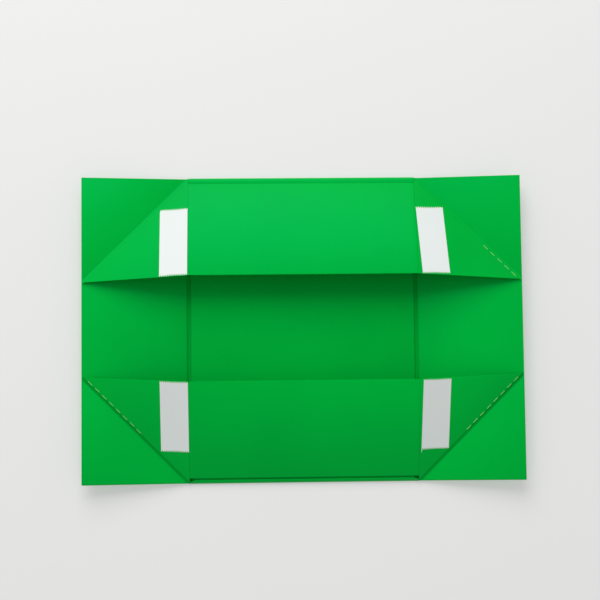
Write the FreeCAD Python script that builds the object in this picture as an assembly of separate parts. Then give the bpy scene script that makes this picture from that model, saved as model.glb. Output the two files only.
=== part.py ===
"""Collapsible rigid storage box, half folded flat.

The base lies on the floor.  Two long walls (rear and front) fold inwards over
it and two end walls (left and right) fold outwards.  A square gusset joins
each pair of walls at a corner.  It is creased along its diagonal: its outer
triangle is glued to the end wall and its inner triangle is a free flap that
carries a strip of double-sided tape under a release liner.

Frame: +X right, +Y rear, +Z up, origin at the middle of the underside.
"""
import FreeCAD, Part
import math
import os

V = FreeCAD.Vector

# Driving dimensions, in millimetres and degrees.
base_width = 228.0        # X, between the creases of the two end walls
base_length = 305.0       # Y, over the outer faces of the long walls
rim_height = 107.0        # rim above the floor when the box stands erected
board_thickness = 1.5     # greyboard core of the base and the walls
card_thickness = 0.95     # thinner core of the gusset flaps
paper_thickness = 0.25    # cover paper and lining paper
long_wall_angle = 17.5    # how far the long walls have sprung up off the base
tape_width = 28.0
tape_length = 72.8
teeth_across_tape = 12

# Gaps and places worked out from the way the box folds.
half_width = base_width / 2
half_length = base_length / 2
panel_thickness = board_thickness + 2 * paper_thickness
half_gutter = 2.1         # bare paper on each side of an end wall's crease
end_crease_height = 0.3
end_crease_half = 0.9
wall_crease_inset = 1.3   # the long wall turns just inside the base's edge
wall_crease_height = 2.9
wall_lower_edge = 3.7     # from the long wall's crease to its board
side_clearance = 4.4      # the long walls stand between the end walls and gussets
side_taper = 3.5          # they narrow to the rim, so that the gussets tuck in
spine_clearance = 5.0     # the spine paper ends short of the corner gussets
base_edge_setback = 2.5   # room for the spine paper that rises past the base
turn_in = 3.0             # cover paper folded over onto the inner face

# The corner gussets, measured from the corner where all the creases meet:
# "out" runs along X away from the base, "along" runs in Y to the middle.
anchor_thickness = 0.4
gusset_crease_height = 1.35    # above the end wall's inner face
flap_thickness = card_thickness + paper_thickness
flap_side_gap = 2.4
flap_crease_gap = 0.9
flap_tip = 103.5
anchor_crease_gap = 1.1
anchor_margin = 1.0
fold_half_width = 0.7
perforation_length = 4.5
perforation_pitch = 9.5
perforation_width = 0.5
adhesive_thickness = 0.1
liner_thickness = 0.15
tooth_depth = 1.8

# Where each strip of tape sits on its flap: gap from the side crease at the
# flap's free edge, and how far the strip leans, in degrees.
tape_places = {
    "rear_left": (2.6, 0.0),
    "rear_right": (4.8, 2.9),
    "front_left": (2.6, 0.0),
    "front_right": (3.6, 0.9),
}
tape_edge_setback = 0.2
adhesive_inset = 0.5

# The box folds as one linkage, so the long wall's angle fixes the others.
end_wall_angle = math.degrees(math.asin(math.tan(math.radians(long_wall_angle / 2))))
flap_angle = 2 * math.degrees(math.atan(math.sqrt(2) * math.tan(math.radians(end_wall_angle))))

# Heights and edges with every wall lying flat.
wall_outer_face = wall_crease_height + wall_crease_inset
wall_inner_face = wall_outer_face - panel_thickness
wall_crease_y = half_length - wall_crease_inset
wall_root_y = wall_crease_y - wall_lower_edge
wall_rim_y = wall_crease_y - (rim_height - wall_crease_height)
end_rim_x = half_width + rim_height - end_crease_height
end_half_length = half_length - 0.2
free_edge = half_length - wall_rim_y
gusset_crease_z = panel_thickness + gusset_crease_height
flap_bottom = gusset_crease_z - flap_thickness / 2
flap_top = flap_bottom + flap_thickness
beyond = 5.0              # how far a cutting box runs past what it cuts

# Creases as (point, direction), where a positive turn erects the box.
rear_crease = (V(0, wall_crease_y, wall_crease_height), V(-1, 0, 0))
right_crease = (V(half_width, 0, end_crease_height), V(0, -1, 0))
gusset_crease = (V(half_width, half_length, gusset_crease_z), V(-1, 1, 0))


def block(x_range, y_range, z_range):
    """A rectangular slab between three pairs of limits."""
    corner = V(x_range[0], y_range[0], z_range[0])
    size = [limits[1] - limits[0] for limits in (x_range, y_range, z_range)]
    return Part.makeBox(size[0], size[1], size[2], corner)


def gusset_plate(outline, z_low, z_high):
    """A flat plate at the rear right corner from (out, along) points."""
    points = [V(half_width + out, half_length - along, z_low) for out, along in outline]
    face = Part.Face(Part.makePolygon(points + points[:1]))
    return face.extrude(V(0, 0, z_high - z_low))


def turned(shape, crease, angle):
    """A copy of the shape folded about a crease."""
    copy = shape.copy()
    copy.rotate(crease[0], crease[1], angle)
    return copy


def half_turn(shape):
    """The same piece on the opposite side of the box."""
    return turned(shape, (V(0, 0, 0), V(0, 0, 1)), 180)


def in_corner(shape, corner):
    """Mirror a rear right piece into the named corner."""
    placed = shape.copy()
    if "left" in corner:
        placed = placed.mirror(V(0, 0, 0), V(1, 0, 0))
    if "front" in corner:
        placed = placed.mirror(V(0, 0, 0), V(0, 1, 0))
    return placed


def base_pieces():
    """Board, outer paper and lining of the floor panel."""
    board_x = half_width - half_gutter
    board_y = half_length - base_edge_setback
    cover_x = half_width - end_crease_half - 0.2
    lining_x = board_x - 1.0
    lining_y = board_y - 1.0
    board_top = paper_thickness + board_thickness
    return {
        "base_cover": block((-cover_x, cover_x), (-half_length, half_length), (0, paper_thickness)),
        "base_board": block((-board_x, board_x), (-board_y, board_y), (paper_thickness, board_top)),
        "base_liner": block((-lining_x, lining_x), (-lining_y, lining_y), (board_top, panel_thickness)),
    }


def tapered_slab(y_rim, z_range):
    """A slab of the rear wall from y_rim to its root, narrower at the rim."""
    root_half = half_width - side_clearance
    narrowing = side_taper / (wall_root_y - wall_rim_y)
    rim_half = root_half - narrowing * (wall_root_y - y_rim)
    outline = [(-root_half, wall_root_y), (root_half, wall_root_y), (rim_half, y_rim), (-rim_half, y_rim)]
    points = [V(x, y, z_range[0]) for x, y in outline]
    face = Part.Face(Part.makePolygon(points + points[:1]))
    return face.extrude(V(0, 0, z_range[1] - z_range[0]))


def long_wall_pieces():
    """Board, wrapped cover and lining of the rear wall, lying flat."""
    x_cut = (-half_width, half_width)
    z_board = (wall_inner_face + paper_thickness, wall_outer_face - paper_thickness)
    board_rim = wall_rim_y + paper_thickness
    liner_rim = wall_rim_y + turn_in
    liner_room = (wall_inner_face - beyond, z_board[0])
    shell = tapered_slab(wall_rim_y, (wall_inner_face, wall_outer_face))
    shell = shell.cut(block(x_cut, (board_rim, wall_root_y + beyond), z_board))
    shell = shell.cut(block(x_cut, (liner_rim, wall_root_y + beyond), liner_room))
    return {
        "wall_cover": shell,
        "wall_board": tapered_slab(board_rim, z_board),
        "wall_liner": tapered_slab(liner_rim, (wall_inner_face, z_board[0])),
    }


def wall_spine():
    """The band of bare paper that rises from the base's edge to the rear wall."""
    lean = math.radians(long_wall_angle)
    along = V(0, -math.cos(lean), math.sin(lean))
    outward = V(0, math.sin(lean), math.cos(lean))
    foot = V(0, half_length, paper_thickness)
    head = rear_crease[0] + along * wall_lower_edge + outward * wall_crease_inset
    run = head - foot
    across = V(0, -run.z, run.y).normalize()
    start = foot + run * 0.05
    end = foot + run * 0.90
    corners = [start, end, end + across * paper_thickness, start + across * paper_thickness]
    x_half = half_width - spine_clearance
    points = [V(-x_half, point.y, point.z) for point in corners]
    face = Part.Face(Part.makePolygon(points + points[:1]))
    return face.extrude(V(2 * x_half, 0, 0))


def end_wall_pieces():
    """Board, wrapped cover and lining of the right end wall, lying flat."""
    x_root = half_width + half_gutter
    z_board = (paper_thickness, paper_thickness + board_thickness)
    x_board = (x_root, end_rim_x - paper_thickness)
    x_liner = (x_root, end_rim_x - turn_in)
    y_board = end_half_length - paper_thickness
    y_liner = end_half_length - turn_in
    shell = block((x_root, end_rim_x), (-end_half_length, end_half_length), (0, panel_thickness))
    shell = shell.cut(block((x_board[0] - beyond, x_board[1]), (-y_board, y_board), z_board))
    liner_room = (z_board[1], panel_thickness + beyond)
    shell = shell.cut(block((x_liner[0] - beyond, x_liner[1]), (-y_liner, y_liner), liner_room))
    hem_x = half_width + end_crease_half + 0.2
    hem = block((hem_x, x_root), (-end_half_length, end_half_length), (0, paper_thickness))
    return {
        "end_cover": shell.fuse(hem).removeSplitter(),
        "end_board": block(x_board, (-y_board, y_board), z_board),
        "end_liner": block(x_liner, (-y_liner, y_liner), (z_board[1], panel_thickness)),
    }


def end_crease_strip():
    """The line of bare paper on which the right end wall turns."""
    x_range = (half_width - end_crease_half, half_width + end_crease_half)
    z_low = end_crease_height - paper_thickness / 2
    y_range = (-end_half_length, end_half_length)
    return block(x_range, y_range, (z_low, z_low + paper_thickness))


def gusset_anchor():
    """The outer triangle of the rear right gusset, glued to the end wall."""
    step = anchor_crease_gap * math.sqrt(2)
    out_end = end_rim_x - half_width - anchor_margin
    outline = [
        (anchor_margin + step, anchor_margin),
        (out_end, anchor_margin),
        (out_end, out_end - step),
    ]
    return gusset_plate(outline, panel_thickness, panel_thickness + anchor_thickness)


def flap_outline(free_end):
    """The inner triangle's outline with its tip cut square."""
    step = flap_crease_gap * math.sqrt(2)
    return [
        (flap_side_gap, flap_side_gap + step),
        (flap_side_gap, free_end),
        (flap_tip, free_end),
        (flap_tip, flap_tip + step),
    ]


def flap_pieces():
    """Card core and cover paper of the rear right gusset's free flap."""
    cover_bottom = flap_top - paper_thickness
    card_end = free_edge - paper_thickness
    sheet = gusset_plate(flap_outline(free_edge), cover_bottom, flap_top)
    hem_outline = [
        (flap_side_gap, card_end),
        (flap_side_gap, free_edge),
        (flap_tip, free_edge),
        (flap_tip, card_end),
    ]
    hem = gusset_plate(hem_outline, flap_bottom, flap_top)
    return {
        "flap_card": gusset_plate(flap_outline(card_end), flap_bottom, cover_bottom),
        "flap_cover": sheet.fuse(hem).removeSplitter(),
    }


def tape_outline(gap, lean, inset):
    """A strip with saw-tooth cut ends, as (out, along) points."""
    pitch = (tape_width - 2 * inset) / teeth_across_tape
    near_end = []
    far_end = []
    for tooth in range(teeth_across_tape):
        across = inset + tooth * pitch
        near_end += [(across, 0), (across + pitch / 2, tooth_depth)]
        far_end += [(across, tape_length), (across + pitch / 2, tape_length - tooth_depth)]
    near_end.append((tape_width - inset, 0))
    far_end.append((tape_width - inset, tape_length))
    slope = math.radians(lean)
    outline = []
    for across, down in near_end + far_end[::-1]:
        out = gap + across * math.cos(slope) - down * math.sin(slope)
        along = free_edge - tape_edge_setback - down * math.cos(slope) - across * math.sin(slope)
        outline.append((out, along))
    return outline


def tape_pieces(gap, lean):
    """The adhesive strip and the release liner that still covers it."""
    glue_top = flap_top + adhesive_thickness
    return {
        "tape_adhesive": gusset_plate(tape_outline(gap, lean, adhesive_inset), flap_top, glue_top),
        "tape_liner": gusset_plate(tape_outline(gap, lean, 0.0), glue_top, glue_top + liner_thickness),
    }


def along_gusset_crease(start, end, half, z_low, z_high):
    """A straight strip centred on the gusset's diagonal crease."""
    outline = []
    for distance, side in ((start, half), (end, half), (end, -half), (start, -half)):
        outline.append(((distance + side) / math.sqrt(2), (distance - side) / math.sqrt(2)))
    return gusset_plate(outline, z_low, z_high)


def gusset_fold():
    """The perforated line of paper along the gusset's diagonal."""
    first = 4.0
    last = flap_tip * math.sqrt(2)
    z_low = gusset_crease_z - paper_thickness / 2
    z_high = z_low + paper_thickness
    strip = along_gusset_crease(first, last, fold_half_width, z_low, z_high)
    cuts = []
    start = first + perforation_pitch / 2
    while start + perforation_length < last:
        end = start + perforation_length
        half = perforation_width / 2
        cuts.append(along_gusset_crease(start, end, half, z_low - beyond, z_high + beyond))
        start += perforation_pitch
    return strip.cut(cuts)


def all_nodes():
    """Every piece by name, folded to the half-collapsed pose."""
    nodes = base_pieces()
    for name, shape in long_wall_pieces().items():
        raised = turned(shape, rear_crease, long_wall_angle)
        nodes["rear_" + name] = raised
        nodes["front_" + name] = half_turn(raised)
    nodes["rear_wall_spine"] = wall_spine()
    nodes["front_wall_spine"] = half_turn(wall_spine())
    for name, shape in end_wall_pieces().items():
        raised = turned(shape, right_crease, end_wall_angle)
        nodes["right_" + name] = raised
        nodes["left_" + name] = half_turn(raised)
    nodes["right_end_crease"] = end_crease_strip()
    nodes["left_end_crease"] = half_turn(end_crease_strip())
    anchor = turned(gusset_anchor(), right_crease, end_wall_angle)
    for corner, place in tape_places.items():
        nodes[corner + "_anchor"] = in_corner(anchor, corner)
        hinged = {**flap_pieces(), **tape_pieces(*place), "gusset_fold": gusset_fold()}
        for name, shape in hinged.items():
            lifted = turned(shape, gusset_crease, flap_angle)
            raised = turned(lifted, right_crease, end_wall_angle)
            nodes[corner + "_" + name] = in_corner(raised, corner)
    return nodes


os.makedirs("parts", exist_ok=True)
for node, solid in all_nodes().items():
    solid.exportStep("parts/" + node + ".step")
    print(node, "volume", round(solid.Volume, 1), "valid", solid.isValid())
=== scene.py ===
# %% [markdown]
# # A collapsible rigid box, half folded
# The box is made of greyboard panels wrapped in green paper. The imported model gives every
# panel its place, and this lesson makes the paper, the creases and the tape that the eye sees.
# The model is loaded first, because every new piece is placed from it.

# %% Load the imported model
import bpy
import math
from mathutils import Euler, Matrix, Vector


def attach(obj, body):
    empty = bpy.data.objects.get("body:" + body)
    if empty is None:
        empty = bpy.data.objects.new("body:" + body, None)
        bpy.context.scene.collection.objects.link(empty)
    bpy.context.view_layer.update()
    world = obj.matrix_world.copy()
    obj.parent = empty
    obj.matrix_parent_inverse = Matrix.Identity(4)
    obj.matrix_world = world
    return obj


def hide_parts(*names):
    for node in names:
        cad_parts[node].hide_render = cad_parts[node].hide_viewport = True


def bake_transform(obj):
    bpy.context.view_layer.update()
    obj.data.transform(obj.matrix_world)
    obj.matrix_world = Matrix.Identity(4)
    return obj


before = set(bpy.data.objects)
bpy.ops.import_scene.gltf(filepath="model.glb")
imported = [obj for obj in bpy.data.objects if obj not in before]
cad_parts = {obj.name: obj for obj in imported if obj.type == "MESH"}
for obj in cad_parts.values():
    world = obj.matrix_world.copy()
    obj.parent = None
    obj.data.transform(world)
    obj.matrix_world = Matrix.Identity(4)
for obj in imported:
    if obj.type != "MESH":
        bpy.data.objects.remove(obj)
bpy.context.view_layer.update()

# %% [markdown]
# ## Sizes of the panels
# The walls and corners are drawn with the box pressed flat, for the rear wall, the right end wall
# and the corner between them. Flat shapes are easy to draw. They are folded up and mirrored
# afterwards, as the real box is cut flat and then creased.

# %% Sizes in metres, with the box flat
mm = 0.001
half_width = 114 * mm
half_length = 152.5 * mm
panel_thickness = 2 * mm
rim_y = 47.1 * mm
wall_top = 4.2 * mm
wall_root_y = 146.3 * mm
end_rim_x = 220.7 * mm
end_half_length = 152.3 * mm
flap_low = 2.68 * mm
flap_top = 3.96 * mm
flap_tip_x = half_width + 104.2 * mm
anchor_top = 2.42 * mm

print("base", round(2 * half_width, 3), "by", round(2 * half_length, 3), "m")

# %% [markdown]
# ## How far the panels are folded
# The box folds as one linkage. When the long walls stand up by one angle, the end walls and the
# corner flaps have no choice of theirs. Those two angles are worked out from the first.
# A fold is a turn about a crease, so each crease gives one matrix.

# %% Fold angles and fold matrices
wall_angle = math.radians(17.5)
end_angle = math.asin(math.tan(wall_angle / 2))
flap_angle = 2 * math.atan(math.sqrt(2) * math.tan(end_angle))


def fold(angle, point, direction):
    """The turn by an angle about a crease."""
    turn = Matrix.Rotation(angle, 4, Vector(direction).normalized())
    return Matrix.Translation(point) @ turn @ Matrix.Translation(-Vector(point))


wall_fold = fold(wall_angle, (0, 151.2 * mm, 2.9 * mm), (-1, 0, 0))
end_fold = fold(end_angle, (half_width, 0, 0.3 * mm), (0, -1, 0))
flap_fold = end_fold @ fold(flap_angle, (half_width, half_length, 3.35 * mm), (-1, 1, 0))
other_side = Matrix.Rotation(math.pi, 4, "Z")
flat = Matrix.Identity(4)
corners = {
    "rear_right": flat,
    "rear_left": Matrix.Scale(-1, 4, (1, 0, 0)),
    "front_right": Matrix.Scale(-1, 4, (0, 1, 0)),
    "front_left": other_side,
}
print("end wall", round(math.degrees(end_angle), 2), "flap", round(math.degrees(flap_angle), 2))

# %% [markdown]
# ## Small helpers
# Operators act on whatever is selected. So everything is deselected before each new piece, and
# the faces, edges or points to work on are picked by a rule about their place.

# %% Helpers for picking, placing and copying


def deselect():
    """Leave edit mode and select nothing."""
    if bpy.context.object and bpy.context.object.mode != "OBJECT":
        bpy.ops.object.mode_set(mode="OBJECT")
    bpy.ops.object.select_all(action="DESELECT")


def choose(piece):
    """Make one piece the selected and active one."""
    deselect()
    piece.select_set(True)
    bpy.context.view_layer.objects.active = piece


def pick(piece, kind, rule):
    """Select the piece's points, edges or faces whose middle passes a rule."""
    choose(piece)
    bpy.ops.object.mode_set(mode="EDIT")
    bpy.ops.mesh.select_mode(type=kind)
    bpy.ops.mesh.select_all(action="DESELECT")
    bpy.ops.object.mode_set(mode="OBJECT")
    points = piece.data.vertices
    if kind == "VERT":
        for point in points:
            point.select = rule(point.co)
    if kind == "EDGE":
        for edge in piece.data.edges:
            first, second = (points[i].co for i in edge.vertices)
            edge.select = rule(first, second)
    if kind == "FACE":
        for face in piece.data.polygons:
            face.select = rule(face.center, face.normal)
    bpy.ops.object.mode_set(mode="EDIT")


def settle(piece, matrix=flat):
    """Turn or mirror a piece, and put its place into its mesh."""
    choose(piece)
    piece.matrix_world = matrix @ piece.matrix_world
    bpy.context.view_layer.update()
    bpy.ops.object.transform_apply(location=True, rotation=True, scale=True)
    if matrix.determinant() < 0:
        bpy.ops.object.mode_set(mode="EDIT")
        bpy.ops.mesh.select_all(action="SELECT")
        bpy.ops.mesh.normals_make_consistent(inside=False)
        bpy.ops.object.mode_set(mode="OBJECT")
    return piece


def copy_of(piece, name, matrix=flat):
    """A copy with its own mesh, turned or mirrored into another place."""
    choose(piece)
    bpy.ops.object.duplicate()
    copy = bpy.context.object
    copy.name = name
    return settle(copy, matrix)


def slab(name, x_range, y_range, z_range):
    """A flat board between three pairs of limits."""
    deselect()
    middle = [(low + high) / 2 for low, high in (x_range, y_range, z_range)]
    size = [high - low for low, high in (x_range, y_range, z_range)]
    bpy.ops.mesh.primitive_cube_add(size=1, location=middle, scale=size)
    piece = bpy.context.object
    piece.name = name
    return settle(piece)


def cut(piece, point, direction, keep_both=False):
    """Cut a piece by a plane, and take away what lies beyond it."""
    pick(piece, "FACE", lambda centre, normal: True)
    one_side = not keep_both
    bpy.ops.mesh.bisect(
        plane_co=point, plane_no=direction, use_fill=one_side, clear_outer=one_side)
    bpy.ops.object.mode_set(mode="OBJECT")


def soften(piece, radius, segments=2):
    """Round every edge of a piece a little, as wrapped paper does."""
    choose(piece)
    rounding = piece.modifiers.new("rounding", "BEVEL")
    rounding.width = radius
    rounding.segments = segments
    rounding.limit_method = "ANGLE"
    rounding.angle_limit = math.radians(35)
    bpy.ops.object.modifier_apply(modifier="rounding")
    bpy.ops.object.shade_smooth_by_angle(angle=math.radians(40))


print("helpers ready")

# %% [markdown]
# ## The green paper
# The paper is a satin dyed sheet. It could be one flat green, but real paper has a faint grain
# of fibres, broad soft patches where it took more or less colour, and small changes in gloss.
# Two noises give that, both in object space so that they stay put. The broad one drives the
# patches and the gloss, and the fine one drives the flecks and the relief.

# %% Materials


def paper(name, colour, gloss, grain_size=0.0006, grain_depth=0.00003, patch=0.05):
    """A paper with broad patches of tone, a fibre grain and uneven gloss."""
    material = bpy.data.materials.new(name)
    material.use_nodes = True
    tree = material.node_tree
    shader = tree.nodes["Principled BSDF"]
    place = tree.nodes.new("ShaderNodeTexCoord")

    patches = tree.nodes.new("ShaderNodeTexNoise")
    patches.inputs["Scale"].default_value = 9
    patches.inputs["Detail"].default_value = 5
    tree.links.new(place.outputs["Object"], patches.inputs["Vector"])

    fibres = tree.nodes.new("ShaderNodeTexNoise")
    fibres.inputs["Scale"].default_value = 1 / grain_size
    fibres.inputs["Detail"].default_value = 4
    fibres.inputs["Roughness"].default_value = 0.65
    tree.links.new(place.outputs["Object"], fibres.inputs["Vector"])

    tones = tree.nodes.new("ShaderNodeValToRGB")
    tones.color_ramp.elements[0].position = 0.3
    tones.color_ramp.elements[0].color = [c * (1 - patch) for c in colour] + [1]
    tones.color_ramp.elements[1].position = 0.7
    tones.color_ramp.elements[1].color = [min(1, c * (1 + patch)) for c in colour] + [1]
    tree.links.new(patches.outputs["Fac"], tones.inputs["Fac"])

    flecks = tree.nodes.new("ShaderNodeMix")
    flecks.data_type = "RGBA"
    flecks.blend_type = "MULTIPLY"
    flecks.inputs["Factor"].default_value = 0.12
    tree.links.new(tones.outputs["Color"], flecks.inputs["A"])
    tree.links.new(fibres.outputs["Fac"], flecks.inputs["B"])
    tree.links.new(flecks.outputs["Result"], shader.inputs["Base Color"])

    shine = tree.nodes.new("ShaderNodeMapRange")
    shine.inputs["To Min"].default_value = gloss - 0.05
    shine.inputs["To Max"].default_value = gloss + 0.07
    tree.links.new(patches.outputs["Fac"], shine.inputs["Value"])
    tree.links.new(shine.outputs["Result"], shader.inputs["Roughness"])

    relief = tree.nodes.new("ShaderNodeBump")
    relief.inputs["Strength"].default_value = 0.35
    relief.inputs["Distance"].default_value = grain_depth
    tree.links.new(fibres.outputs["Fac"], relief.inputs["Height"])
    tree.links.new(relief.outputs["Normal"], shader.inputs["Normal"])
    return material


cover_green = paper("green_cover_paper", (0.0, 0.45, 0.037), 0.42)
lining_green = paper("green_lining_paper", (0.0, 0.44, 0.036), 0.5)
# A darker green that is painted shade: it stands for the shadow in the creases, the gutters and
# the front diagonals.
crease_shade_green = paper(
    "green_paper_painted_crease_shade", (0.0, 0.36, 0.029), 0.6, grain_depth=0.00006, patch=0.09)
torn_green = paper(
    "torn_paper_edge", (0.33, 0.80, 0.22), 0.8,
    grain_size=0.0003, grain_depth=0.0001, patch=0.15)
backing_white = paper(
    "white_release_backing", (0.785, 0.83, 0.81), 0.5, grain_depth=0.000015, patch=0.015)
grey_board = paper(
    "raw_greyboard", (0.42, 0.38, 0.31), 0.85,
    grain_size=0.0011, grain_depth=0.00012, patch=0.12)
clear_glue = paper(
    "tacky_glue_film", (0.82, 0.82, 0.74), 0.25, grain_depth=0.00001, patch=0.03)

reflection = {cover_green: 0.18, lining_green: 0.12, crease_shade_green: 0.1, backing_white: 0.2}
green_reflection_tint = (0.02, 0.7, 1.0, 1)
for material, level in reflection.items():
    shader_inputs = material.node_tree.nodes["Principled BSDF"].inputs
    shader_inputs["Specular IOR Level"].default_value = level
    if material is not backing_white:
        shader_inputs["Specular Tint"].default_value = green_reflection_tint
print("materials ready")


# %% [markdown]
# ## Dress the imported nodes
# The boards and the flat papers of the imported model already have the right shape, so they stay.
# Each gets its real finish in place of the plain one.

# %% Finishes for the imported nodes


def finish_for(node):
    """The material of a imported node, from what its name ends in."""
    if node.endswith(("board", "card")):
        return grey_board
    if node.endswith("tape_liner"):
        return backing_white
    if node.endswith("adhesive"):
        return clear_glue
    if node.endswith("liner"):
        return lining_green
    # Crease, fold and spine nodes get the darker green, as painted shade.
    if node.endswith(("crease", "fold", "spine")):
        return crease_shade_green
    return cover_green


for name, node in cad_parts.items():
    node.data.materials.clear()
    node.data.materials.append(finish_for(name))
print("dressed", len(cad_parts), "nodes")

# %% [markdown]
# ## Finishing a new piece
# Every new piece gets a material, the body it moves with and the imported nodes it stands for. A
# sheet that bends between two bodies rides on neither.

# %% Finish for a new piece


def finish(piece, material, body, slot, *replaced):
    """Give a piece its material, its body and the nodes it stands for."""
    piece.data.materials.clear()
    piece.data.materials.append(material)
    if body:
        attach(piece, body)
    if replaced:
        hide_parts(*replaced)


# %% [markdown]
# ## The long walls
# A long wall is a board wrapped in paper. At its two short sides the paper runs on past the
# board as a thin margin up to the crease of the corner flap. So the slab is cut level near its
# top face, and the thin layer above the cut is drawn out sideways. The board under it narrows to
# the rim, so that the corner flaps can tuck in when the box stands up.

# %% Wrapped long walls
margin_thickness = 0.35 * mm
wall_side_cut = 4.2 * mm
wall_margin_width = 4.05 * mm
wall_rim_taper = 3.3 * mm
wall_underside = 2.2 * mm
margin_low = wall_top - margin_thickness
board_half = half_width - wall_side_cut
wall_wrap = slab(
    "rear_wall_wrap", (-board_half, board_half), (rim_y, wall_root_y + 0.3 * mm),
    (wall_underside, wall_top))
cut(wall_wrap, (0, 0, margin_low), (0, 0, 1), keep_both=True)
for side in (-1, 1):
    pick(wall_wrap, "FACE", lambda centre, normal: side * normal.x > 0.9 and centre.z > margin_low)
    shift = (side * wall_margin_width, 0, 0)
    bpy.ops.mesh.extrude_region_move(TRANSFORM_OT_translate={"value": shift})
    bpy.ops.object.mode_set(mode="OBJECT")
    pick(wall_wrap, "VERT", lambda point: (
        abs(side * point.x - board_half) < mm
        and point.y < 60 * mm
        and point.z < margin_low + 0.01 * mm))
    bpy.ops.transform.translate(value=(-side * wall_rim_taper, 0, 0))
    bpy.ops.object.mode_set(mode="OBJECT")
soften(wall_wrap, 0.16 * mm)

lining_side_gap = 5 * mm
turn_in = 3 * mm
wall_lining = slab(
    "rear_wall_lining", (-board_half + lining_side_gap, board_half - lining_side_gap),
    (rim_y + turn_in, wall_root_y - mm), (2.08 * mm, 2.25 * mm))
soften(wall_lining, 0.05 * mm)
settle(wall_wrap, wall_fold)
settle(wall_lining, wall_fold)
front_wrap = copy_of(wall_wrap, "front_wall_wrap", other_side)
front_lining = copy_of(wall_lining, "front_wall_lining", other_side)
for side, wrap, lining in (("rear", wall_wrap, wall_lining), ("front", front_wrap, front_lining)):
    replaced = (side + "_wall_cover", side + "_wall_board")
    finish(wrap, cover_green, side + "_wall", "cover_paper", *replaced)
    finish(lining, lining_green, side + "_wall", "lining_paper", side + "_wall_liner")
print("long wall wrap", len(wall_wrap.data.polygons), "faces")

# %% [markdown]
# ## The paper spines of the long walls
# From the edge of the base the cover paper climbs to the lower edge of the long wall. It is a
# bare sheet there. At the rear it stands up and rounds over into a level shelf, and at the
# front it slopes and dips in a line along the board. So each band is a grid whose rows are moved
# one by one onto a profile, and a thickness is added. The groove of the
# front band ends a little short of the corners, to leave more room there for the end walls.
# Each row is shaped well away from the grid, so that it isn't picked again, and the whole band
# is then brought back.

# %% Spine bands
far_away = 100
spine_thickness = 0.22 * mm
front_groove_share = 0.96


spine_shapes = {
    "rear": [(152.5, 0.14), (152.8, 1.6), (152.7, 3.3), (151.8, 4.7), (150.4, 5.3),
             (148.8, 5.45), (147.2, 5.48)],
    "front": [(152.5, 0.14), (152.5, 0.9), (151.9, 2.4), (150.8, 3.7), (149.2, 4.3),
              (148.3, 2.9), (147.3, 2.9)],
}
for side, profile in spine_shapes.items():
    deselect()
    bpy.ops.mesh.primitive_grid_add(
        x_subdivisions=24, y_subdivisions=6, size=1, location=(0, 0, 0))
    band = bpy.context.object
    band.name = side + "_spine_band"
    band.scale = (2 * half_width - 0.6 * mm, 6, 1)
    settle(band)
    for row, (along, height) in enumerate(profile):
        pick(band, "VERT", lambda point: abs(point.y - (3 - row)) < 0.01)
        bpy.ops.transform.translate(value=(0, far_away + along * mm - (3 - row), height * mm))
        bpy.ops.object.mode_set(mode="OBJECT")
    settle(band, Matrix.Translation((0, -far_away, 0)))
    if side == "front":
        pick(band, "VERT", lambda point: point.y < 150 * mm)
        bpy.ops.transform.resize(value=(front_groove_share, 1, 1), center_override=(0, 0, 0))
        bpy.ops.object.mode_set(mode="OBJECT")
    choose(band)
    body_of_paper = band.modifiers.new("thickness", "SOLIDIFY")
    body_of_paper.thickness = spine_thickness
    body_of_paper.offset = 0
    bpy.ops.object.modifier_apply(modifier="thickness")
    bpy.ops.object.shade_smooth_by_angle(angle=math.radians(50))
    sign = 1
    if side == "front":
        settle(band, other_side)
        sign = -1
    finish(band, cover_green, None, "cover_paper", side + "_wall_spine")
    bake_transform(band)

# %% [markdown]
# ## The base lining
# The floor of the tray is a lining sheet pasted over the board. It stops just short of the
# creases of the end walls. A thin slab with rounded edges is enough here, since the eye only
# sees its top and its two long edges.

# %% Base lining
lining_half = half_width - 2.3 * mm
lining_half_length = 149.6 * mm
base_lining = slab(
    "base_lining", (-lining_half, lining_half), (-lining_half_length, lining_half_length),
    (1.7 * mm, panel_thickness + 0.02 * mm))
soften(base_lining, 0.12 * mm)
finish(base_lining, lining_green, "base", "lining_paper", "base_liner")
print("base lining", round(2 * lining_half, 4), "m wide")

# %% [markdown]
# ## The end walls
# An end wall is a wrapped board like the long walls. On its inner face the cover paper is
# folded over for three millimetres all round, and the lining is pasted inside that frame.

# %% Wrapped end walls
end_wrap = slab(
    "right_end_wrap", (half_width + 1.9 * mm, end_rim_x),
    (-end_half_length, end_half_length), (0, panel_thickness))
soften(end_wrap, 0.3 * mm, 3)
end_lining = slab(
    "right_end_lining", (half_width + turn_in, end_rim_x - turn_in),
    (-end_half_length + turn_in, end_half_length - turn_in), (1.9 * mm, 2.06 * mm))
soften(end_lining, 0.05 * mm)
settle(end_wrap, end_fold)
settle(end_lining, end_fold)
left_wrap = copy_of(end_wrap, "left_end_wrap", other_side)
left_lining = copy_of(end_lining, "left_end_lining", other_side)
for side, wrap, lining in (("right", end_wrap, end_lining), ("left", left_wrap, left_lining)):
    finish(wrap, cover_green, side + "_end_wall", "cover_paper", side + "_end_cover")
    finish(lining, cover_green, side + "_end_wall", "lining_paper", side + "_end_liner")
print("end wrap", len(end_wrap.data.polygons), "faces")
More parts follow.
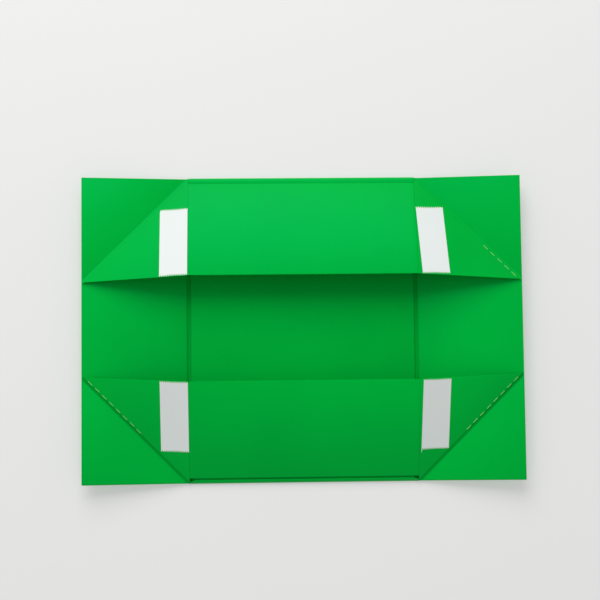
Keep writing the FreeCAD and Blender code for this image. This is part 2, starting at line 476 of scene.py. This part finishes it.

# %% [markdown]
# ## The gutters at the end walls
# Between the base board and an end wall the papers meet and are pressed down into a narrow
# gutter, on which the wall turns. A grid of long strips is laid across the gap, and its columns
# are pushed down one after the other. At the two corners its end is pinched up to where all the
# creases meet. The half on the wall's side is folded up with the wall.

# %% Gutter papers
gutter_thickness = 0.3 * mm
corner_pinch = 1.8 * mm
gutter_profile = [(-2.6, 2.03), (-2.1, 1.95), (-1.7, 1.45), (-1.1, 0.9), (-0.5, 0.72), (0, 0.85),
                  (0.5, 0.72), (1.1, 0.9), (1.7, 1.45), (2.1, 1.95), (2.8, 2.08)]
deselect()
bpy.ops.mesh.primitive_grid_add(
    x_subdivisions=10, y_subdivisions=40, size=1, location=(0, 0, 0))
gutter = bpy.context.object
gutter.name = "right_gutter_paper"
gutter.scale = (10, 2 * end_half_length, 1)
settle(gutter)
for column, (out, height) in enumerate(gutter_profile):
    place = Vector((half_width + out * mm, 0, height * mm))
    if out > 0:
        place = end_fold @ place
    pick(gutter, "VERT", lambda point: abs(point.x - (column - 5)) < 0.01)
    bpy.ops.transform.translate(value=(far_away + place.x - (column - 5), 0, place.z))
    bpy.ops.object.mode_set(mode="OBJECT")
settle(gutter, Matrix.Translation((-far_away, 0, 0)))
pick(gutter, "VERT", lambda point: (
    abs(point.y) > 152 * mm and abs(point.x - half_width) < 1.5 * mm))
bpy.ops.transform.translate(value=(0, 0, corner_pinch))
bpy.ops.object.mode_set(mode="OBJECT")
choose(gutter)
gutter_body = gutter.modifiers.new("thickness", "SOLIDIFY")
gutter_body.thickness = gutter_thickness
gutter_body.offset = -1
bpy.ops.object.modifier_apply(modifier="thickness")
bpy.ops.object.shade_smooth_by_angle(angle=math.radians(50))
left_gutter = copy_of(gutter, "left_gutter_paper", other_side)
for side, sign, strip in (("right", 1, gutter), ("left", -1, left_gutter)):
    # The gutters get the darker green, as painted shade for the shadow in them.
    finish(strip, crease_shade_green, None, "cover_paper", side + "_end_crease")
    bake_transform(strip)
print("gutter", len(gutter.data.polygons), "faces")

# %% [markdown]
# ## The glued half of each corner
# Each corner gusset is creased on its diagonal. Its outer triangle is glued down on the end
# wall. A thin square sheet is cut along the diagonal by a plane, and its edges are rounded.

# %% Glued triangles
corner_point = Vector((half_width, half_length, 0))
towards_wall = Vector((1, 1, 0)).normalized()
glued_margin = mm
anchor = slab(
    "anchor", (half_width + glued_margin, end_rim_x - glued_margin),
    (rim_y + 0.6 * mm, half_length - glued_margin), (panel_thickness, anchor_top))
cut(anchor, corner_point + towards_wall * 1.1 * mm, -towards_wall)
soften(anchor, 0.12 * mm)
settle(anchor, end_fold)
for corner, mirror in corners.items():
    piece = copy_of(anchor, corner + "_glued_triangle", mirror)
    end_wall = corner.split("_")[1] + "_end_wall"
    finish(piece, cover_green, end_wall, "cover_paper", corner + "_anchor")
bpy.data.objects.remove(anchor)
print("four glued triangles")

# %% [markdown]
# ## The free flap of each corner
# The inner triangle is a card covered with paper. Like the long wall, its cover runs on past
# the card up to the side crease, so its top layer is drawn out sideways in the same way before
# the diagonal is cut.

# %% Free flaps
flap_side_gap = 2.3 * mm
flap_margin_width = 1.95 * mm
flap_margin_low = flap_top - margin_thickness
flap = slab(
    "flap", (half_width + flap_side_gap, flap_tip_x), (rim_y, half_length),
    (flap_low, flap_top))
cut(flap, (0, 0, flap_margin_low), (0, 0, 1), keep_both=True)
pick(flap, "FACE", lambda centre, normal: normal.x < -0.9 and centre.z > flap_margin_low)
bpy.ops.mesh.extrude_region_move(TRANSFORM_OT_translate={"value": (-flap_margin_width, 0, 0)})
bpy.ops.object.mode_set(mode="OBJECT")
cut(flap, corner_point - towards_wall * 0.85 * mm, towards_wall)
soften(flap, 0.14 * mm)
settle(flap, flap_fold)
for corner, mirror in corners.items():
    piece = copy_of(flap, corner + "_flap_wrap", mirror)
    finish(piece, cover_green, corner + "_flap", "cover_paper", corner + "_flap_cover")
bpy.data.objects.remove(flap)
print("four flap wraps")

# %% [markdown]
# ## The diagonal creases
# The paper of the diagonal has two sides: one lies against the glued triangle and climbs from it
# to the crease, the other goes up with the flap. Both sides are thin strips along the diagonal.
# They are folded apart and joined in one mesh along the crease. The
# front creases get a darker paper, which is painted shade.

# %% Diagonal crease papers
crease_length = 105 * math.sqrt(2) * mm
crease_thickness = 0.16 * mm


def crease_side(profile):
    """A strip along the diagonal, from (distance from the crease, height) pairs."""
    deselect()
    count = len(profile) - 1
    bpy.ops.mesh.primitive_grid_add(
        x_subdivisions=count, y_subdivisions=30, size=1, location=(0, 0, 0))
    strip = bpy.context.object
    strip.scale = (count, crease_length, 1)
    settle(strip, Matrix.Translation((count / 2, -crease_length / 2 - mm, 0)))
    for column, (across, height) in enumerate(profile):
        pick(strip, "VERT", lambda point: abs(point.x - column) < 0.01)
        bpy.ops.transform.translate(value=(far_away + across * mm - column, 0, height * mm))
        bpy.ops.object.mode_set(mode="OBJECT")
    settle(strip, Matrix.Translation((-far_away, 0, 0)))
    along = Matrix.Rotation(math.radians(45), 4, "Z")
    settle(strip, Matrix.Translation(corner_point) @ along)
    cut(strip, corner_point - Vector((0, 0.3 * mm, 0)), (0, 1, 0))
    cut(strip, Vector((end_rim_x - 0.8 * mm, 0, 0)), (1, 0, 0))
    return strip


glued_side = crease_side([(0, 3.2), (0.4, 3.1), (0.9, 2.8), (1.4, 2.55), (1.9, 2.44)])
lifted_side = crease_side([(-1.0, 3.88), (-0.75, 3.5), (-0.4, 3.25), (0, 3.2)])
settle(glued_side, end_fold)
settle(lifted_side, flap_fold)
choose(glued_side)
lifted_side.select_set(True)
bpy.ops.object.join()
bpy.ops.object.mode_set(mode="EDIT")
bpy.ops.mesh.select_all(action="SELECT")
bpy.ops.mesh.remove_doubles(threshold=0.05 * mm)
bpy.ops.mesh.normals_make_consistent(inside=False)
bpy.ops.object.mode_set(mode="OBJECT")
crease_paper = bpy.context.object
crease_body = crease_paper.modifiers.new("thickness", "SOLIDIFY")
crease_body.thickness = crease_thickness
crease_body.offset = 0
bpy.ops.object.modifier_apply(modifier="thickness")
bpy.ops.object.shade_smooth_by_angle(angle=math.radians(50))
crease_middle = end_fold @ Vector((half_width + 50 * mm, half_length - 50 * mm, 3.35 * mm))
across_crease = end_fold.to_3x3() @ towards_wall
for corner, mirror in corners.items():
    piece = copy_of(crease_paper, corner + "_diagonal_crease", mirror)
    # The front diagonals get the darker green as painted shade, and the rear ones keep the cover
    # green.
    shade = cover_green if "rear" in corner else crease_shade_green
    finish(piece, shade, None, "cover_paper", corner + "_gusset_fold")
    end = mirror @ (crease_middle - across_crease * 0.6 * mm)
    end_wall = corner.split("_")[1] + "_end_wall"
    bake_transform(piece)
bpy.data.objects.remove(crease_paper)
print("four diagonal creases")

# %% [markdown]
# ## Perforations beside the diagonals
# So that the gusset folds on a clean line, the paper is pierced with a row of short slits. Where
# the flap has pulled on them they have opened and show the pale torn edge. One slit is modelled:
# a flat bead whose top is inset and pressed in. It is copied along the outer part of the line, as
# many times as the corner shows.

# %% Perforation slits
slit_count = {"rear_right": 5, "front_right": 8, "front_left": 8}
slit_pitch = 9.6 * mm
slit_offset = 1.65 * mm
first_slit = 5 * mm
slit = slab("slit", (-0.6 * mm, 0.6 * mm), (-2.9 * mm, 2.9 * mm), (-0.12 * mm, 0.2 * mm))
pick(slit, "FACE", lambda centre, normal: normal.z > 0.9)
bpy.ops.mesh.inset(thickness=0.12 * mm)
bpy.ops.transform.translate(value=(0, 0, -0.1 * mm))
bpy.ops.object.mode_set(mode="OBJECT")
for end in (-1, 1):
    pick(slit, "VERT", lambda point: end * point.y > 2.5 * mm)
    bpy.ops.transform.resize(value=(0.35, 1, 1))
    bpy.ops.object.mode_set(mode="OBJECT")
soften(slit, 0.03 * mm)
for corner, count in slit_count.items():
    row = []
    for step in range(count):
        out = flap_tip_x - half_width - first_slit - step * slit_pitch / math.sqrt(2)
        wobble = 0.12 * mm * math.sin(2.3 * step)
        on_crease = Vector((half_width + out, half_length - out, flap_top))
        spot = on_crease - towards_wall * (slit_offset + wobble)
        turn = Matrix.Rotation(math.radians(45), 4, "Z")
        place = corners[corner] @ flap_fold @ Matrix.Translation(spot) @ turn
        row.append(copy_of(slit, "slit_copy", place))
    choose(row[0])
    for piece in row:
        piece.select_set(True)
    bpy.ops.object.join()
    bpy.context.object.name = corner + "_perforation"
    finish(bpy.context.object, torn_green, corner + "_flap", "cover_paper")
bpy.data.objects.remove(slit)
print("slits", slit_count)

# %% [markdown]
# ## The tape
# Each flap carries a strip of double-sided tape. Its white backing is cut by a saw-toothed
# cutter, so both ends have a row of teeth. A grid is made with two columns for each tooth, and
# every second point of its end rows is pushed in. The glue film below is the same strip, a bit
# narrower. Two strips were put on slightly crooked. The cutter left a sliver on one strip and
# took a corner off another.

# %% Tape strips
tape_width = 28 * mm
tape_length = 72.8 * mm
tooth_depth = 2.2 * mm
tape_columns = 24
glue_thickness = 0.09 * mm
backing_thickness = 0.15 * mm
tape_places = {
    "rear_left": (0.6 * mm, 0.0),
    "rear_right": (4.4 * mm, 2.9),
    "front_left": (0.5 * mm, 0.0),
    "front_right": (3.4 * mm, 0.9),
}


def tape_strip(name, inset, z_low, thickness, curl):
    """A strip from its outer corner at the origin, with teeth at both ends."""
    deselect()
    width = tape_width - 2 * inset
    bpy.ops.mesh.primitive_grid_add(
        x_subdivisions=tape_columns, y_subdivisions=28, size=1, location=(0.5, 0.5, 0))
    strip = bpy.context.object
    strip.name = name
    strip.scale = (width, tape_length, 1)
    strip.location = (inset + width / 2, tape_length / 2, z_low)
    settle(strip)
    pitch = width / tape_columns
    for end, middle in ((1, 0), (-1, tape_length)):
        pick(strip, "VERT", lambda point: (
            abs(point.y - middle) < 0.1 * mm and round((point.x - inset) / pitch) % 2 == 1))
        bpy.ops.transform.translate(value=(0, end * tooth_depth, 0))
        bpy.ops.object.mode_set(mode="OBJECT")
    for row, lift in ((71 * mm, 0.3), (69 * mm, 0.12)):
        pick(strip, "VERT", lambda point: point.y > row)
        bpy.ops.transform.translate(value=(0, 0, lift * curl))
        bpy.ops.object.mode_set(mode="OBJECT")
    choose(strip)
    film = strip.modifiers.new("thickness", "SOLIDIFY")
    film.thickness = thickness
    film.offset = 1
    bpy.ops.object.modifier_apply(modifier="thickness")
    soften(strip, 0.03 * mm, 1)
    return strip


glue = tape_strip("glue", 0.5 * mm, flap_top - 0.01 * mm, glue_thickness, 0)
backing = tape_strip("backing", 0.0, flap_top + 0.08 * mm, backing_thickness, 0.1 * mm)
for corner, mirror in corners.items():
    gap, lean = tape_places[corner]
    edge = Matrix.Translation((half_width + gap, rim_y + 0.15 * mm, 0))
    leaning = Matrix.Rotation(math.radians(lean), 4, "Z")
    place = mirror @ flap_fold @ edge @ leaning
    film = copy_of(glue, corner + "_tape_glue", place)
    finish(film, clear_glue, corner + "_flap", "tape_adhesive", corner + "_tape_adhesive")
    strip = copy_of(backing, corner + "_tape_backing")
    if corner == "front_right":
        pick(strip, "VERT", lambda point: (
            point.x < 0.5 * mm and point.y > tape_length - 0.5 * mm))
        bpy.ops.transform.translate(value=(0, 3.2 * mm, 0))
    if corner == "rear_left":
        pick(strip, "VERT", lambda point: (
            point.x > 26.3 * mm and point.y > tape_length - 0.5 * mm))
        bpy.ops.transform.translate(value=(-0.4 * mm, -2 * mm, 0))
    settle(strip, place)
    finish(strip, backing_white, corner + "_flap", "release_liner", corner + "_tape_liner")
bpy.data.objects.remove(glue)
bpy.data.objects.remove(backing)
print("four strips of tape,", round(tape_width * 1000, 1), "mm wide")

# %% [markdown]
# ## The floor
# The box lies on a plain pale sheet. The sheet glows a little, as a lit table does, so that the
# shadows on it stay light.

# %% Floor
floor_size = 30
floor_glow = 0.32
deselect()
bpy.ops.mesh.primitive_plane_add(size=floor_size, location=(0, 0, -0.3 * mm))
floor = bpy.context.object
floor.name = "floor"
sheet = paper("pale_sheet", (0.52, 0.52, 0.515), 0.9, grain_depth=0.00001, patch=0.004)
glow = sheet.node_tree.nodes["Principled BSDF"]
glow.inputs["Emission Color"].default_value = (1, 1, 0.995, 1)
glow.inputs["Emission Strength"].default_value = floor_glow
floor.data.materials.append(sheet)
print("floor", [round(v, 2) for v in floor.dimensions])

# %% [markdown]
# ## The light
# A broad lamp behind and above the box gives the bright rear wall, the soft shadow under the
# rear rim and the darker front wall. A weak even sky fills the rest.

# %% Light
sky_strength = 0.52
deselect()


def lamp(name, place, target, size, power):
    """A square soft lamp that points at a target."""
    bpy.ops.object.light_add(type="AREA", location=place)
    light = bpy.context.object
    light.name = name
    light.data.size = size
    light.data.energy = power
    light.rotation_euler = (Vector(target) - Vector(place)).to_track_quat("-Z", "Y").to_euler()


lamp("rear_softbox", (-0.45, 1.65, 1.5), (0, 0, 0), 1.7, 40)
sky = bpy.data.worlds.new("even_sky")
sky.use_nodes = True
sky.node_tree.nodes["Background"].inputs["Color"].default_value = (1, 1, 1, 1)
sky.node_tree.nodes["Background"].inputs["Strength"].default_value = sky_strength
bpy.context.scene.world = sky
bpy.context.scene.view_settings.view_transform = "Standard"
print("one softbox and an even sky")

# %% [markdown]
# ## The camera
# The camera looks almost straight down from about a metre and a half, a little off the middle.

# %% Camera
view_turn = Euler([math.radians(a) for a in (-4.53, 2.02, 0.52)]).to_matrix()
view_shift = Vector((2.8 * mm, -29.4 * mm, -1509.3 * mm))
bpy.ops.object.camera_add()
camera = bpy.context.object
camera.name = "camera"
camera.matrix_world = (Matrix.Translation(view_shift) @ view_turn.to_4x4()).inverted()
camera.data.sensor_width = 36
camera.data.lens = 90.2
camera.data.dof.use_dof = False
bpy.context.scene.camera = camera
print("camera at", [round(v, 3) for v in camera.matrix_world.translation])
